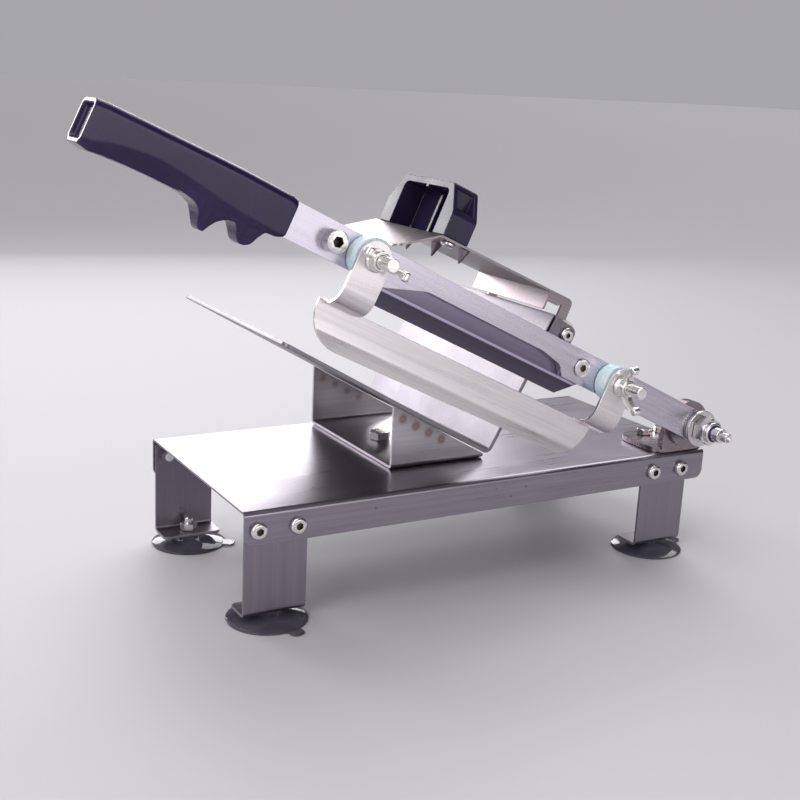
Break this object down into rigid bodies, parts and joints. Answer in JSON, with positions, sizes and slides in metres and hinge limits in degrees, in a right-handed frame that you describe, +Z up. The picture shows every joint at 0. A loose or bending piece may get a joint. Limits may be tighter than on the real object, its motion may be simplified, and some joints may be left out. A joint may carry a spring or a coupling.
{
  "type": "hand lever meat slicer",
  "caption": "Table-top hand lever slicer: a pivoted blade arm with a thickness plate cuts past a sloping L-shaped trough with a spiked presser, on a sheet table with suction feet.",
  "frame": {"origin": "middle of the footprint of the bounding box, on the worktop under the suction cups", "axes": "+X along the table from the handle end to the pivot end, +Y from the blade side to the back, +Z up"},
  "size_m": [0.4494, 0.2148, 0.3036],
  "materials": {
    "sheet_steel": "brushed stainless sheet",
    "bar_steel": "ground flat bar",
    "blade_steel": "ground blade with a darker bevel",
    "fastener_steel": "bright plated",
    "black_plastic": "glossy black moulding",
    "blue_silicone": "pale blue translucent silicone",
    "smoky_vinyl": "dark smoky translucent vinyl",
    "nylon": "off-white nylon"
  },
  "bodies": {
    "base": {"base_table": "sheet_steel", "leg_front_left": "sheet_steel", "leg_screw_front_left_a": "fastener_steel", "leg_screw_front_left_b": "fastener_steel", "suction_cup_front_left": "smoky_vinyl", "cup_stud_front_left": "fastener_steel", "cup_nut_front_left": "fastener_steel", "leg_front_right": "sheet_steel", "leg_screw_front_right_a": "fastener_steel", "leg_screw_front_right_b": "fastener_steel", "suction_cup_front_right": "smoky_vinyl", "cup_stud_front_right": "fastener_steel", "cup_nut_front_right": "fastener_steel", "leg_rear_left": "sheet_steel", "leg_screw_rear_left_a": "fastener_steel", "leg_screw_rear_left_b": "fastener_steel", "suction_cup_rear_left": "smoky_vinyl", "cup_stud_rear_left": "fastener_steel", "cup_nut_rear_left": "fastener_steel", "leg_rear_right": "sheet_steel", "leg_screw_rear_right_a": "fastener_steel", "leg_screw_rear_right_b": "fastener_steel", "suction_cup_rear_right": "smoky_vinyl", "cup_stud_rear_right": "fastener_steel", "cup_nut_rear_right": "fastener_steel", "trough_channel": "sheet_steel", "channel_bolt_1": "fastener_steel", "channel_nut_1": "fastener_steel", "channel_bolt_2": "fastener_steel", "channel_nut_2": "fastener_steel", "trough": "sheet_steel", "guide_rod": "bar_steel", "rod_screw_front": "fastener_steel", "rod_screw_rear": "fastener_steel", "pivot_bracket": "bar_steel", "bracket_bolt_1": "fastener_steel", "bracket_bolt_2": "fastener_steel", "pivot_bolt": "fastener_steel", "pivot_spacer": "bar_steel", "pivot_washer": "fastener_steel", "pivot_nut": "fastener_steel"},
    "arm": {"arm_bar": "bar_steel", "handle_grip": "black_plastic", "blade": "blade_steel", "blade_screw_left": "fastener_steel", "blade_screw_right": "fastener_steel", "gauge_stud_left": "fastener_steel", "gauge_ring_left": "blue_silicone", "gauge_stud_right": "fastener_steel", "gauge_ring_right": "blue_silicone"},
    "gauge": {"thickness_plate": "sheet_steel"},
    "clamp_left": {"wing_nut_left": "fastener_steel"},
    "clamp_right": {"wing_nut_right": "fastener_steel"},
    "slider": {"presser_sleeve": "nylon", "sleeve_ring": "bar_steel"},
    "presser": {"presser_plate": "sheet_steel", "presser_grip": "black_plastic", "grip_screw_1": "fastener_steel", "grip_screw_2": "fastener_steel"}
  },
  "joints": [
    {"name": "arm_swing", "type": "hinge", "parent": "base", "child": "arm", "pos_m": [0.20705, -0.0719, 0.0939], "axis": [0, 1, 0], "range_deg": [-26, 60]},
    {"name": "thickness_slide", "type": "slide", "parent": "arm", "child": "gauge", "axis": [0, -1, 0], "range_m": [0, 0.01]},
    {"name": "wing_nut_left_turn", "type": "hinge", "parent": "gauge", "child": "clamp_left", "pos_m": [-0.06123, -0.0908, 0.22014], "axis": [0, 1, 0], "continuous": true},
    {"name": "wing_nut_right_turn", "type": "hinge", "parent": "gauge", "child": "clamp_right", "pos_m": [0.12336, -0.0908, 0.13328], "axis": [0, 1, 0], "continuous": true},
    {"name": "presser_slide", "type": "slide", "parent": "base", "child": "slider", "axis": [0, 1, 0], "range_m": [0, 0.06]},
    {"name": "presser_swing", "type": "hinge", "parent": "slider", "child": "presser", "pos_m": [0.09435, -0.0158, 0.16376], "axis": [0, 1, 0], "range_deg": [-24, 95]}
  ]
}
